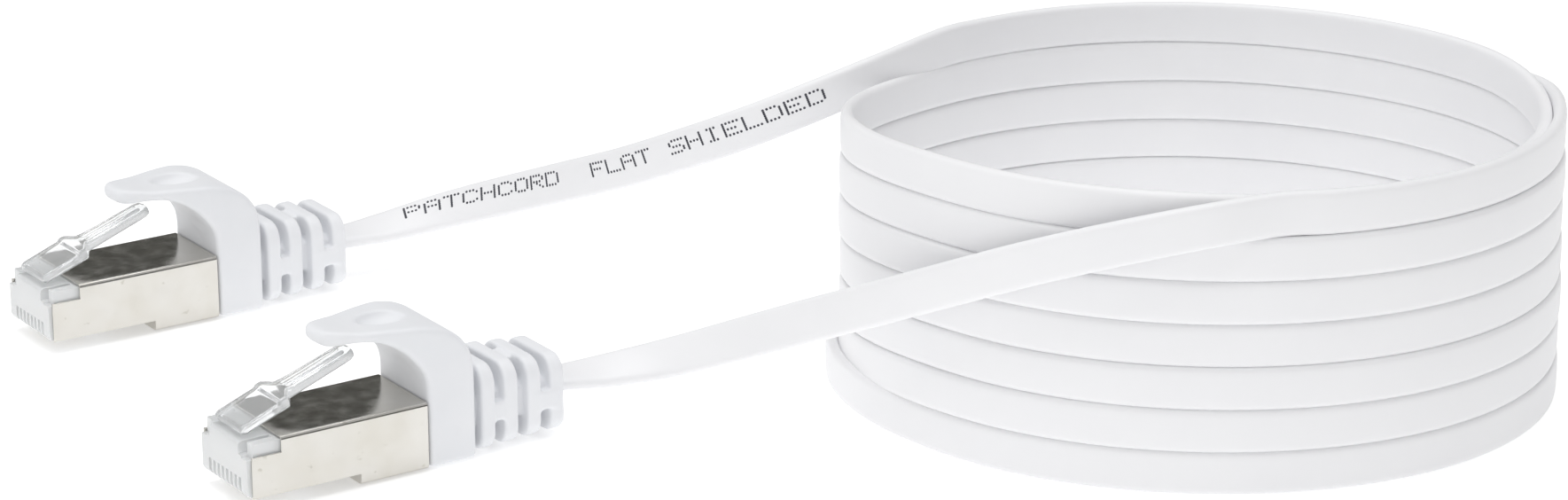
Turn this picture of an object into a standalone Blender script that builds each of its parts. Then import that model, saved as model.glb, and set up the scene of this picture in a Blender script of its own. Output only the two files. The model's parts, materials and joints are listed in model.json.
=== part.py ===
"""Flat shielded patch cable: two 8P8C plugs with latch hoods, joined by a coiled ribbon cable.

Frame: metres, +Z up. Z = 0 is the surface that the plugs and the coil rest on. Both plugs point
along -X. The origin is at the bottom centre of the box around the two plugs.
"""
import math

import bmesh
import bpy
from mathutils import Matrix, Vector

MM = 0.001

# ---- driving dimensions -------------------------------------------------------------------
PLUG_WIDTH = 11.68 * MM            # over the shield
BODY_HEIGHT = 6.75 * MM            # over the shield, from the contact side
FOOT_DEPTH = 1.35 * MM             # rear of the shield stands this much lower
FOOT_START = 14.2 * MM             # behind the nose
SHIELD_END = 23.05 * MM
SHEET = 0.25 * MM                  # shield sheet thickness
FIT = 0.14 * MM                    # gap between the plastic body and the shield

CONTACT_COUNT = 8
CONTACT_PITCH = 1.016 * MM
CONTACT_THICKNESS = 0.35 * MM
SLOT_WIDTH = 0.6 * MM

WIRE_DIAMETER = 0.56 * MM
WIRE_HEIGHT = 3.4 * MM             # conductor centres above the contact side
WIRE_PITCH_IN_CABLE = 0.62 * MM

LATCH_PIVOT = Vector((1.15 * MM, 0.0, 7.3 * MM))
LATCH_REST_ANGLE = math.radians(20.5)
LATCH_LENGTH = 16.3 * MM
LATCH_WIDE_LENGTH = 6.3 * MM
LATCH_WIDE = 6.3 * MM
LATCH_NARROW = 3.2 * MM
LATCH_THICKNESS = 1.2 * MM

BOOT_START = 23.25 * MM
COLLAR_END = 29.4 * MM
BOOT_END = 41.9 * MM
BOOT_HALF_WIDTH = 5.95 * MM
SPLIT_HEIGHT = 9.6 * MM            # top of the collar, under the hood's root
HOOD_PIVOT = Vector((28.2 * MM, 0.0, 10.6 * MM))
RIB_COUNT = 4
RIB_START = 30.4 * MM
RIB_PITCH = 3.16 * MM
RIB_THICKNESS = 1.85 * MM

CABLE_WIDTH = 5.2 * MM
CABLE_THICKNESS = 1.5 * MM
CABLE_HEIGHT = 3.6 * MM            # cable centre above the contact side, inside the boot
CHANNEL_GAP = 0.3 * MM

PLUG_STAGGER = 3.9 * MM            # plug B lies this much further forward
PLUG_SPACING = 59.0 * MM
PLUG_LENGTH = RIB_START + (RIB_COUNT - 1) * RIB_PITCH + RIB_THICKNESS
PLUG_A_NOSE = Vector(((PLUG_STAGGER - PLUG_LENGTH) / 2, PLUG_SPACING / 2, FOOT_DEPTH))
PLUG_B_NOSE = PLUG_A_NOSE - Vector((PLUG_STAGGER, PLUG_SPACING, 0.0))

COIL_CENTRE = Vector((91.9 * MM, -60.7 * MM, 0.0))
COIL_TURN = math.radians(-34.4)    # direction of the coil's long axis
COIL_RADII = (42.8 * MM, 38.9 * MM)
COIL_HEIGHT = 36.1 * MM
COIL_WALL = 3.2 * MM
COIL_SEGMENTS = 96

# Lead routes: points chosen by hand, from the plug's end to where the lead meets the coil.
# Each is (x, y, z, tilt), tilt in degrees: 0 lies flat and 90 stands on edge.
LEAD_A_POINTS = [
    (5.3, 29.5, 4.95, 0),
    (12.0, 29.5, 4.95, 0),
    (23.0, 29.5, 4.95, 0),
    (30.5, 28.5, 5.5, 20),
    (37.6, 24.6, 7.6, 45),
    (43.0, 17.6, 10.6, 65),
    (46.4, 9.0, 14.1, 80),
    (49.3, 0.0, 17.8, 90),
    (52.4, -8.2, 21.7, 90),
    (56.7, -15.4, 25.5, 90),
    (63.2, -20.5, 29.0, 90),
    (71.2, -22.7, 31.6, 90),
]
LEAD_B_POINTS = [
    (1.4, -29.5, 4.95, 0),
    (8.0, -29.5, 4.95, 0),
    (19.0, -29.5, 4.95, 0),
    (26.5, -30.9, 5.0, 20),
    (33.2, -35.4, 6.7, 45),
    (38.4, -42.4, 10.0, 65),
    (42.6, -51.0, 14.1, 80),
    (46.0, -60.3, 18.4, 90),
    (49.4, -69.2, 22.6, 90),
    (53.4, -77.8, 26.6, 90),
    (59.0, -85.8, 30.0, 90),
    (66.4, -91.6, 32.2, 90),
]
LEAD_POINT_SPACING = 2.2 * MM


# ---- helpers ------------------------------------------------------------------------------
def clear_scene():
    for obj in list(bpy.data.objects):
        bpy.data.objects.remove(obj, do_unlink=True)


def material(name, color, roughness, metallic=0.0):
    found = bpy.data.materials.get(name)
    if found:
        return found
    made = bpy.data.materials.new(name)
    made.use_nodes = True
    shader = made.node_tree.nodes["Principled BSDF"]
    shader.inputs["Base Color"].default_value = (*color, 1.0)
    shader.inputs["Roughness"].default_value = roughness
    shader.inputs["Metallic"].default_value = metallic
    return made


def new_object(name, bm, mat=None):
    bmesh.ops.recalc_face_normals(bm, faces=bm.faces[:])
    mesh = bpy.data.meshes.new(name)
    bm.to_mesh(mesh)
    bm.free()
    obj = bpy.data.objects.new(name, mesh)
    bpy.context.scene.collection.objects.link(obj)
    if mat:
        mesh.materials.append(mat)
    return obj


def box_mesh(low, high):
    bm = bmesh.new()
    bmesh.ops.create_cube(bm, size=1.0)
    low = Vector(low)
    high = Vector(high)
    bmesh.ops.scale(bm, vec=high - low, verts=bm.verts)
    bmesh.ops.translate(bm, vec=(low + high) / 2, verts=bm.verts)
    return bm


def prism(points, low, high, axis):
    """Extrude a closed outline along one axis. The outline's pairs fill the other two axes."""
    bm = bmesh.new()
    for level in (low, high):
        ring = []
        for a, b in points:
            place = {"X": (level, a, b), "Y": (a, level, b), "Z": (a, b, level)}[axis]
            ring.append(bm.verts.new(place))
        bm.faces.new(ring)
    bm.verts.ensure_lookup_table()
    count = len(points)
    for i in range(count):
        j = (i + 1) % count
        bm.faces.new((bm.verts[i], bm.verts[j], bm.verts[count + j], bm.verts[count + i]))
    return bm


def arc(centre, radius, start, end, steps):
    """Points on an arc, both ends included, angles in degrees."""
    points = []
    for i in range(steps + 1):
        angle = math.radians(start + (end - start) * i / steps)
        points.append((centre[0] + radius * math.cos(angle), centre[1] + radius * math.sin(angle)))
    return points


def rounded_rectangle(half_a, half_b, radius, centre=(0.0, 0.0), steps=3):
    points = []
    corners = ((1, 1, 0), (-1, 1, 90), (-1, -1, 180), (1, -1, 270))
    for side_a, side_b, start in corners:
        middle = (centre[0] + side_a * (half_a - radius), centre[1] + side_b * (half_b - radius))
        points += arc(middle, radius, start, start + 90, steps)
    return points


def smooth_through(points, steps):
    """Catmull-Rom curve through the given tuples, with the same number of steps per span."""
    ends = [points[0]] + list(points) + [points[-1]]
    result = []
    for i in range(1, len(ends) - 2):
        p0, p1, p2, p3 = (Vector(p) for p in ends[i - 1:i + 3])
        for k in range(steps):
            t = k / steps
            curve = (2 * p1 + (p2 - p0) * t + (2 * p0 - 5 * p1 + 4 * p2 - p3) * t * t
                     + (3 * p1 - 3 * p2 + p3 - p0) * t ** 3) / 2
            result.append(curve)
    result.append(Vector(points[-1]))
    return result


def combine(obj, other, operation):
    """Apply one Boolean and remove the other object."""
    modifier = obj.modifiers.new(operation, "BOOLEAN")
    modifier.operation = operation
    modifier.solver = "EXACT"
    modifier.object = other
    graph = bpy.context.evaluated_depsgraph_get()
    result = bpy.data.meshes.new_from_object(obj.evaluated_get(graph))
    obj.modifiers.clear()
    old = obj.data
    obj.data = result
    bpy.data.meshes.remove(old)
    bpy.data.objects.remove(other, do_unlink=True)


def cut(obj, bm):
    combine(obj, new_object("cutter", bm), "DIFFERENCE")


def join(obj, bm):
    combine(obj, new_object("addition", bm), "UNION")


def keep_inside(obj, bm):
    combine(obj, new_object("envelope", bm), "INTERSECT")


def finish(obj, place, parent=None, smooth_angle=35.0):
    obj.parent = parent
    obj.location = place
    obj.data.shade_smooth()
    obj.data.set_sharp_from_angle(angle=math.radians(smooth_angle))


def contact_offsets(pitch):
    first = -(CONTACT_COUNT - 1) / 2 * pitch
    return [first + i * pitch for i in range(CONTACT_COUNT)]


# ---- plug pieces, in a frame with x behind the nose and z above the contact side -----------
def make_housing(name, parent, place):
    half = PLUG_WIDTH / 2 - SHEET - FIT
    top = BODY_HEIGHT - SHEET - FIT
    under_sheet = SHEET + FIT
    foot_floor = -FOOT_DEPTH + SHEET + FIT
    rear = SHIELD_END - SHEET - 0.5 * MM
    foot_front = FOOT_START + SHEET + FIT
    outline = [
        (0.0, 0.7 * MM), (0.25 * MM, 0.2 * MM), (0.6 * MM, 0.0), (8.2 * MM, 0.0),
        (8.2 * MM, under_sheet), (foot_front, under_sheet), (foot_front, foot_floor),
        (rear, foot_floor), (rear, top),
        (0.5 * MM, top), (0.1 * MM, top - 0.25 * MM), (0.0, top - 0.6 * MM),
    ]
    obj = new_object(name, prism(outline, -half, half, "Y"), CLEAR)
    shoulder = 3.45 * MM
    notch_width = 0.75 * MM
    for side in (-1, 1):
        near = side * shoulder
        far = side * (shoulder + notch_width)
        cut(obj, box_mesh((-1 * MM, min(near, far), top - 1.5 * MM),
                          (3.9 * MM, max(near, far), top + 1 * MM)))
        edge = side * (shoulder + notch_width)
        wall = side * (half + 1 * MM)
        cut(obj, box_mesh((-1 * MM, min(edge, wall), 4.6 * MM),
                          (0.75 * MM, max(edge, wall), top + 1 * MM)))
    for y in contact_offsets(CONTACT_PITCH):
        cut(obj, box_mesh((-1 * MM, y - SLOT_WIDTH / 2, -1 * MM),
                          (6.7 * MM, y + SLOT_WIDTH / 2, 2.1 * MM)))
        cut(obj, box_mesh((1.3 * MM, y - SLOT_WIDTH / 2, 2.0 * MM),
                          (6.7 * MM, y + SLOT_WIDTH / 2, 2.8 * MM)))
    cut(obj, box_mesh((1.6 * MM, -4.15 * MM, 2.7 * MM), (7.2 * MM, 4.15 * MM, 4.2 * MM)))
    cut(obj, box_mesh((7.0 * MM, -4.5 * MM, 1.6 * MM), (rear + 1 * MM, 4.5 * MM, 5.2 * MM)))
    finish(obj, place, parent)


def make_wire_guide(name, parent, place):
    obj = new_object(name, box_mesh((7.35 * MM, -4.35 * MM, 1.75 * MM),
                                    (12.4 * MM, 4.35 * MM, 5.05 * MM)), GUIDE)
    bore = 0.42 * MM
    for y in contact_offsets(CONTACT_PITCH):
        outline = arc((y, WIRE_HEIGHT), bore, 0, 315, 7)
        cut(obj, prism(outline, 7 * MM, 13 * MM, "X"))
    finish(obj, place, parent)


def make_contact(name, parent, place, y):
    outline = [
        (1.6 * MM, 0.95 * MM), (1.85 * MM, 0.6 * MM), (6.4 * MM, 0.6 * MM), (6.4 * MM, 2.45 * MM),
        (5.9 * MM, 3.0 * MM), (5.4 * MM, 2.45 * MM), (4.5 * MM, 2.45 * MM), (4.0 * MM, 3.0 * MM),
        (3.5 * MM, 2.45 * MM), (2.6 * MM, 2.45 * MM), (2.1 * MM, 3.0 * MM), (1.6 * MM, 2.45 * MM),
    ]
    half = CONTACT_THICKNESS / 2
    obj = new_object(name, prism(outline, y - half, y + half, "Y"), GOLD)
    finish(obj, place, parent)


def make_wire(name, parent, place, y_contact, y_cable, mat):
    curve = bpy.data.curves.new(name, "CURVE")
    curve.dimensions = "3D"
    curve.bevel_depth = WIRE_DIAMETER / 2
    curve.bevel_resolution = 2
    curve.use_fill_caps = True
    curve.render_resolution_u = 0
    run = (1.9, 7.0, 12.8, 15.0, 17.2, 19.4, 20.6)
    fan = (0.0, 0.0, 0.0, 0.2, 0.65, 0.97, 1.0)
    spline = curve.splines.new("POLY")
    spline.points.add(len(run) - 1)
    for point, x, share in zip(spline.points, run, fan):
        y = y_contact + (y_cable - y_contact) * share
        z = WIRE_HEIGHT + (CABLE_HEIGHT - WIRE_HEIGHT) * share
        point.co = (x * MM, y, z, 1.0)
    obj = bpy.data.objects.new(name, curve)
    bpy.context.scene.collection.objects.link(obj)
    curve.materials.append(mat)
    obj.parent = parent
    obj.location = place


def make_latch(name, parent, place):
    """Sprung arm, modelled along +X from its pivot and then turned up to its rest angle."""
    half = LATCH_THICKNESS / 2
    root = [(point[0], point[1]) for point in arc((0.0, 0.0), half, 90, 270, 6)]
    side = root + [(LATCH_WIDE_LENGTH, -half), (LATCH_LENGTH, -half), (LATCH_LENGTH, half - 0.2 * MM),
                   (LATCH_WIDE_LENGTH + 1.2 * MM, half), (LATCH_WIDE_LENGTH, half + 0.25 * MM),
                   (LATCH_WIDE_LENGTH - 1.0 * MM, half + 0.25 * MM), (LATCH_WIDE_LENGTH - 1.3 * MM, half)]
    wide = LATCH_WIDE / 2
    narrow = LATCH_NARROW / 2
    obj = new_object(name, prism(side, -wide - MM, wide + MM, "Y"), CLEAR)
    plan = [(-1 * MM, -wide), (LATCH_WIDE_LENGTH, -wide), (LATCH_WIDE_LENGTH, -narrow),
            (LATCH_LENGTH + 1 * MM, -narrow), (LATCH_LENGTH + 1 * MM, narrow),
            (LATCH_WIDE_LENGTH, narrow), (LATCH_WIDE_LENGTH, wide), (-1 * MM, wide)]
    keep_inside(obj, prism(plan, -2 * MM, 2 * MM, "Z"))
    cut(obj, box_mesh((LATCH_WIDE_LENGTH + 1.3 * MM, -0.75 * MM, 0.15 * MM),
                      (LATCH_LENGTH - 1.0 * MM, 0.75 * MM, 1.5 * MM)))
    obj.data.transform(Matrix.Rotation(-LATCH_REST_ANGLE, 4, "Y"))
    finish(obj, place + LATCH_PIVOT, parent)


def make_shield(name, parent, place):
    half = PLUG_WIDTH / 2
    notch_depth = 4.2 * MM
    wing_height = 4.92 * MM
    front = 0.45 * MM
    outer = [
        (front, 0.0), (FOOT_START, 0.0), (FOOT_START, -FOOT_DEPTH), (SHIELD_END, -FOOT_DEPTH),
        (SHIELD_END, BODY_HEIGHT), (notch_depth, BODY_HEIGHT), (notch_depth, wing_height),
        (front, wing_height),
    ]
    obj = new_object(name, prism(outer, -half - MM, half + MM, "Y"), NICKEL)
    middle = (BODY_HEIGHT - FOOT_DEPTH) / 2
    tall = (BODY_HEIGHT + FOOT_DEPTH) / 2
    keep_inside(obj, prism(rounded_rectangle(half, tall, 0.5 * MM, (0.0, middle)), -MM, 30 * MM, "X"))
    inner = [
        (-MM, -3 * MM), (8.5 * MM, -3 * MM), (8.5 * MM, SHEET), (FOOT_START + SHEET, SHEET),
        (FOOT_START + SHEET, -FOOT_DEPTH + SHEET), (SHIELD_END - SHEET, -FOOT_DEPTH + SHEET),
        (SHIELD_END - SHEET, BODY_HEIGHT - SHEET), (-MM, BODY_HEIGHT - SHEET),
    ]
    cut(obj, prism(inner, -half + SHEET, half - SHEET, "Y"))
    barrel_end = 28.0 * MM
    level = (0.0, CABLE_HEIGHT)
    join(obj, prism(rounded_rectangle(3.35 * MM, 1.5 * MM, 1.2 * MM, level),
                    SHIELD_END - SHEET / 2, barrel_end, "X"))
    cut(obj, prism(rounded_rectangle(3.05 * MM, 1.2 * MM, 0.9 * MM, level),
                   SHIELD_END - 2 * SHEET, barrel_end + MM, "X"))
    finish(obj, place, parent)


def rib_outline(share):
    """Cross-section of a strain relief rib, tapering from share 0 to share 1."""
    half_width = (5.55 - 0.35 * share) * MM
    low = (-FOOT_DEPTH / MM + 0.2 * share) * MM
    high = (9.2 - 0.8 * share) * MM
    return rounded_rectangle(half_width, (high - low) / 2, 2.4 * MM, (0.0, (high + low) / 2), 4)


def make_boot(name, parent, place):
    collar = [
        (BOOT_START, -FOOT_DEPTH), (COLLAR_END, -FOOT_DEPTH), (COLLAR_END, SPLIT_HEIGHT),
        (HOOD_PIVOT.x - 0.4 * MM, SPLIT_HEIGHT), (BOOT_START, SPLIT_HEIGHT - 1.8 * MM),
    ]
    obj = new_object(name, prism(collar, -BOOT_HALF_WIDTH, BOOT_HALF_WIDTH, "Y"), WHITE)
    level = (0.0, CABLE_HEIGHT)
    core = rounded_rectangle(3.9 * MM, 2.1 * MM, 1.2 * MM, level)
    join(obj, prism(core, COLLAR_END - MM, BOOT_END - 0.5 * MM, "X"))
    for i in range(RIB_COUNT):
        start = RIB_START + i * RIB_PITCH
        outline = rib_outline(i / (RIB_COUNT - 1))
        join(obj, prism(outline, start, start + RIB_THICKNESS, "X"))
    overlap = 0.2 * MM
    for i in (0, 2):
        low = RIB_START + i * RIB_PITCH + RIB_THICKNESS - overlap
        high = RIB_START + (i + 1) * RIB_PITCH + overlap
        join(obj, box_mesh((low, -5.2 * MM, 2.2 * MM), (high, 5.2 * MM, 4.5 * MM)))
    for i in (-1, 1):
        low = COLLAR_END - overlap if i < 0 else RIB_START + i * RIB_PITCH + RIB_THICKNESS - overlap
        high = RIB_START + (i + 1) * RIB_PITCH + overlap
        join(obj, box_mesh((low, -1.7 * MM, -0.9 * MM), (high, 1.7 * MM, 8.3 * MM)))
    barrel_room = rounded_rectangle(3.65 * MM, 1.8 * MM, 1.4 * MM, level)
    cut(obj, prism(barrel_room, BOOT_START - MM, 28.3 * MM, "X"))
    channel = rounded_rectangle(CABLE_WIDTH / 2 + CHANNEL_GAP, CABLE_THICKNESS / 2 + CHANNEL_GAP,
                                CABLE_THICKNESS / 2, level)
    cut(obj, prism(channel, 28 * MM, BOOT_END + MM, "X"))
    finish(obj, place, parent)


def make_hood(name, parent, place):
    """Flap over the latch. Its mesh is placed about its pivot, at the collar's rear top corner."""
    outer = [(COLLAR_END / MM, 9.9), (COLLAR_END / MM, 10.6), (28.9, 12.2), (27.7, 13.8), (25.6, 15.1),
             (23.0, 15.7), (20.0, 15.8), (16.5, 15.9), (13.0, 16.3), (12.0, 16.35), (11.4, 15.9)]
    inner = [(11.3, 15.3), (11.7, 14.7), (12.8, 14.5), (15.0, 14.8), (17.2, 14.7), (19.2, 14.0),
             (20.9, 12.8), (22.2, 11.2), (BOOT_START / MM, 9.9)]
    outline = [(x * MM, z * MM) for x, z in outer + inner]
    obj = new_object(name, prism(outline, -8 * MM, 8 * MM, "Y"), WHITE)
    half = [(30.0, 5.95), (24.0, 5.95), (22.0, 5.65), (19.0, 4.9), (16.0, 4.05), (13.5, 3.2),
            (12.2, 2.6), (11.4, 1.7), (11.1, 0.6)]
    plan = [(x * MM, y * MM) for x, y in half] + [(x * MM, -y * MM) for x, y in reversed(half)]
    keep_inside(obj, prism(plan, 8 * MM, 18 * MM, "Z"))
    obj.data.transform(Matrix.Translation(-HOOD_PIVOT))
    finish(obj, place + HOOD_PIVOT, parent)


def make_plug(prefix, nose):
    empty = bpy.data.objects.new(prefix, None)
    bpy.context.scene.collection.objects.link(empty)
    empty.location = nose
    origin = Vector((0.0, 0.0, 0.0))
    make_housing(prefix + "_housing", empty, origin)
    make_wire_guide(prefix + "_wire_guide", empty, origin)
    at_contact = contact_offsets(CONTACT_PITCH)
    at_cable = contact_offsets(WIRE_PITCH_IN_CABLE)
    for i in range(CONTACT_COUNT):
        make_contact(f"{prefix}_contact_{i + 1}", empty, origin, at_contact[i])
        make_wire(f"{prefix}_conductor_{i + 1}", empty, origin, at_contact[i], at_cable[i],
                  CONDUCTORS[i])
    make_latch(prefix + "_latch", empty, origin)
    make_shield(prefix + "_shield", empty, origin)
    make_boot(prefix + "_boot", empty, origin)
    make_hood(prefix + "_hood", empty, origin)


# ---- cable --------------------------------------------------------------------------------
def make_coil(name):
    """Outer shape of the wound turns: an oval ring with an upright wall."""
    bm = bmesh.new()
    inner = [radius - COIL_WALL for radius in COIL_RADII]
    profile = ((COIL_RADII, 0.0), (COIL_RADII, COIL_HEIGHT), (inner, COIL_HEIGHT), (inner, 0.0))
    rings = []
    for radii, z in profile:
        ring = []
        for i in range(COIL_SEGMENTS):
            angle = 2 * math.pi * i / COIL_SEGMENTS
            ring.append(bm.verts.new((radii[0] * math.cos(angle), radii[1] * math.sin(angle), z)))
        rings.append(ring)
    for k in range(4):
        a = rings[k]
        b = rings[(k + 1) % 4]
        for i in range(COIL_SEGMENTS):
            j = (i + 1) % COIL_SEGMENTS
            bm.faces.new((a[i], a[j], b[j], b[i]))
    obj = new_object(name, bm, WHITE)
    obj.rotation_euler.z = COIL_TURN
    finish(obj, COIL_CENTRE)


def make_lead(name, route):
    fine = smooth_through(route, 24)
    places = [Vector(p[:3]) * MM for p in fine]
    travelled = [0.0]
    for a, b in zip(places, places[1:]):
        travelled.append(travelled[-1] + (b - a).length)
    count = round(travelled[-1] / LEAD_POINT_SPACING)
    curve = bpy.data.curves.new(name, "CURVE")
    curve.dimensions = "3D"
    curve.twist_mode = "Z_UP"
    curve.extrude = (CABLE_WIDTH - CABLE_THICKNESS) / 2
    curve.bevel_depth = CABLE_THICKNESS / 2
    curve.bevel_resolution = 2
    curve.use_fill_caps = True
    curve.render_resolution_u = 0
    spline = curve.splines.new("POLY")
    spline.points.add(count)
    k = 0
    for i, point in enumerate(spline.points):
        goal = travelled[-1] * i / count
        while k < len(travelled) - 2 and travelled[k + 1] < goal:
            k += 1
        share = (goal - travelled[k]) / (travelled[k + 1] - travelled[k])
        point.co = (*places[k].lerp(places[k + 1], share), 1.0)
        point.tilt = math.radians(fine[k][3] + (fine[k + 1][3] - fine[k][3]) * share - 90)
    obj = bpy.data.objects.new(name, curve)
    bpy.context.scene.collection.objects.link(obj)
    curve.materials.append(WHITE)


# ---- build --------------------------------------------------------------------------------
clear_scene()
CLEAR = material("clear_polycarbonate", (0.9, 0.92, 0.93), 0.08)
GUIDE = material("wire_guide_plastic", (0.85, 0.86, 0.87), 0.3)
NICKEL = material("nickel_plated_steel", (0.72, 0.7, 0.66), 0.25, 1.0)
GOLD = material("gold_plated_contact", (0.83, 0.66, 0.3), 0.3, 1.0)
WHITE = material("white_soft_plastic", (0.86, 0.87, 0.89), 0.5)
WIRE_WHITE = material("conductor_white", (0.85, 0.85, 0.83), 0.45)
CONDUCTORS = [
    WIRE_WHITE,
    material("conductor_orange", (0.9, 0.38, 0.08), 0.45),
    WIRE_WHITE,
    material("conductor_blue", (0.1, 0.25, 0.65), 0.45),
    WIRE_WHITE,
    material("conductor_green", (0.1, 0.45, 0.18), 0.45),
    WIRE_WHITE,
    material("conductor_brown", (0.3, 0.17, 0.09), 0.45),
]
make_plug("plug_a", PLUG_A_NOSE)
make_plug("plug_b", PLUG_B_NOSE)
make_coil("cable_coil")
make_lead("cable_lead_a", LEAD_A_POINTS)
make_lead("cable_lead_b", LEAD_B_POINTS)
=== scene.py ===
"""Looks of a flat shielded patch cable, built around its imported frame.

Metres, +Z up, in the frame's own axes: +X from the plugs' noses back to the cable, the near side
is -Y, and Z = 0 is the surface everything rests on. Plug pieces are made once in a local frame,
x behind the nose and z above the contact side, and stood at each plug's nose. Sizes are in
millimetres inside functions whose comments say so, and MM turns them into metres.
"""
import json
import math

import bmesh
import bpy
import numpy as np
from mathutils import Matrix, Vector

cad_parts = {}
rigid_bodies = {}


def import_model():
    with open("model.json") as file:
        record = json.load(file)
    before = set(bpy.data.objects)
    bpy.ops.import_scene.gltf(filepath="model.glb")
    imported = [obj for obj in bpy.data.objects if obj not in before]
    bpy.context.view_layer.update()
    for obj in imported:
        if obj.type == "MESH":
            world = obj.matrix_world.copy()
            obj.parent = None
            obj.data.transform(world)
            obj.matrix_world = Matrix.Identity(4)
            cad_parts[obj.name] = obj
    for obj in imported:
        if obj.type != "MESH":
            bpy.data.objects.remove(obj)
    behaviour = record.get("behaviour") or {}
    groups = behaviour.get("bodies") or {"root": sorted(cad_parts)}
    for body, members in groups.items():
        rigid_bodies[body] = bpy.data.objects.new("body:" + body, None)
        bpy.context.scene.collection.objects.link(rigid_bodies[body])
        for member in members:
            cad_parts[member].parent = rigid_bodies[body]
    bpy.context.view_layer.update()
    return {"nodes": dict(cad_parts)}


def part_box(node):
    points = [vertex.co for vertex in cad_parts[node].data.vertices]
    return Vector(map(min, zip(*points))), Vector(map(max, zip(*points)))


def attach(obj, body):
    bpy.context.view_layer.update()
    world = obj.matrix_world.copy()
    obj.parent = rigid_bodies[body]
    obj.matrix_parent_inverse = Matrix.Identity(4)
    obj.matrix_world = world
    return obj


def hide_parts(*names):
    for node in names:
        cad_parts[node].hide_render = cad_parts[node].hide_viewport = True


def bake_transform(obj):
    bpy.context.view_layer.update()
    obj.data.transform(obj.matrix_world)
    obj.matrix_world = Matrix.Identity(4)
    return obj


MM = 0.001

for left_over in list(bpy.data.objects):
    bpy.data.objects.remove(left_over, do_unlink=True)
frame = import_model()
nodes = frame["nodes"]

# ---- sizes shared with the frame ------------------------------------------------------------
FOOT_DEPTH = 1.35                     # mm, the shield's rear stands this much lower
PLUG_SIDES = ("a", "b")
CONTACT_COUNT = 8                     # and as many conductors, in each plug

RIBBON_WIDTH = 5.2                    # mm
RIBBON_THICKNESS = 1.5                # mm, at the edges of the flat faces
RIBBON_CROWN = 0.05                   # mm, how far each flat face bulges at its middle
RIBBON_EDGE_RADIUS = 0.71             # mm
RING_STEP = 1.5                       # mm between the ribbon's cross-sections
SPAN_STEPS = 12                       # steps between two points of the route

COIL_TILT = math.radians(-34.4)       # direction of the coil's long axis
COIL_CENTRE = (91.9, -60.7)           # mm
COIL_MIDLINE = (42.05, 38.15)         # mm, half axes at the ribbon's centre
COIL_TURNS = 7
COIL_STEP = 1 / 48                    # turn, between two points of the winding
COIL_START = 0.125                    # turns past the left end, where lead A ends
COIL_END = COIL_TURNS + 0.722         # turns, where lead B starts
TURN_SPACING = 5.085                  # mm between one turn and the next, on average
SPACING_SWAY = 0.055                  # mm, how much that varies round the coil
WOBBLE = 0.10                         # mm, how far the turns wander in and out
WOBBLE_PER_TURN = 2.1                 # radians of that wander from one level to the next
LEAN = 0.1                            # mm, at the right each turn stands out this far past the upper
START_DROP = 0.35                     # mm, how much lower the top turn starts
LAYER_GAP = 1.58                      # mm between the centres of two layers
BENEATH_DROP = 0.8                    # mm, how much the top turn sinks under the outer layer
OUTER_RISE = 0.1                      # mm, the outer layer's height above the top turn

# Stages of the winding, each from and to a number of turns since the left end of the top turn.
START_RISES = (0.10, 0.22)
TOP_GIVES_WAY = (0.41, 0.53)
TOP_COMES_BACK = (0.715, 0.775)
OUTER_STEPS_OUT = (6.88, 7.0)
OUTER_CLIMBS = (6.98, 7.52)
OUTER_UPRIGHT = (7.2, 7.5)            # the lean is taken back
OUTER_STEPS_IN = (7.41, 7.53)

# Lead routes, mm: (x, y, z, tilt), tilt in degrees: 0 lies flat and 90 stands on edge.
LEAD_A_POINTS = [
    (5.3, 29.5, 4.95, 0),
    (12.0, 29.5, 4.95, 0),
    (23.0, 29.5, 4.95, 0),
    (30.5, 28.5, 5.5, 20),
    (37.6, 24.6, 7.6, 45),
    (43.0, 17.6, 10.6, 65),
    (46.4, 9.0, 14.1, 80),
    (49.3, 0.0, 17.8, 90),
    (52.4, -8.2, 21.7, 90),
    (56.7, -15.4, 25.5, 90),
    (63.2, -20.5, 29.0, 90),
    (71.2, -22.7, 31.6, 90),
]
LEAD_B_POINTS = [
    (1.4, -29.5, 4.95, 0),
    (8.0, -29.5, 4.95, 0),
    (19.0, -29.5, 4.95, 0),
    (26.5, -30.9, 5.0, 20),
    (33.2, -35.4, 6.7, 45),
    (38.4, -42.4, 10.0, 65),
    (42.6, -51.0, 14.1, 80),
    (46.0, -60.3, 18.4, 90),
    (49.4, -69.2, 22.6, 90),
    (53.4, -77.8, 26.6, 90),
    (59.0, -85.8, 30.0, 90),
    (66.4, -91.6, 32.2, 90),
]


# ---- general helpers ------------------------------------------------------------------------
def ramp(value, start, end):
    """0 before start, 1 after end, and smooth between them."""
    share = min(max((value - start) / (end - start), 0.0), 1.0)
    return share * share * (3 - 2 * share)


def smooth_through(points, steps):
    """Catmull-Rom curve through rows of numbers, with the same number of steps per span."""
    rows = np.array(points, float)
    rows = np.vstack([rows[:1], rows, rows[-1:]])
    t = np.linspace(0, 1, steps, endpoint=False)[:, None]
    spans = []
    for p0, p1, p2, p3 in zip(rows, rows[1:], rows[2:], rows[3:]):
        spans.append((2 * p1 + (p2 - p0) * t + (2 * p0 - 5 * p1 + 4 * p2 - p3) * t ** 2
                      + (3 * p1 - 3 * p2 + p3 - p0) * t ** 3) / 2)
    return np.vstack(spans + [rows[-1:]])


def even_spacing(rows, step):
    """The rows resampled about one step apart, measured along their first three numbers."""
    gaps = np.linalg.norm(np.diff(rows[:, :3], axis=0), axis=1)
    travelled = np.concatenate([[0.0], np.cumsum(gaps)])
    goals = np.linspace(0, travelled[-1], round(travelled[-1] / step) + 1)
    columns = [np.interp(goals, travelled, rows[:, i]) for i in range(rows.shape[1])]
    return np.stack(columns, axis=1), goals


def link(obj):
    bpy.context.scene.collection.objects.link(obj)
    return obj


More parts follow.
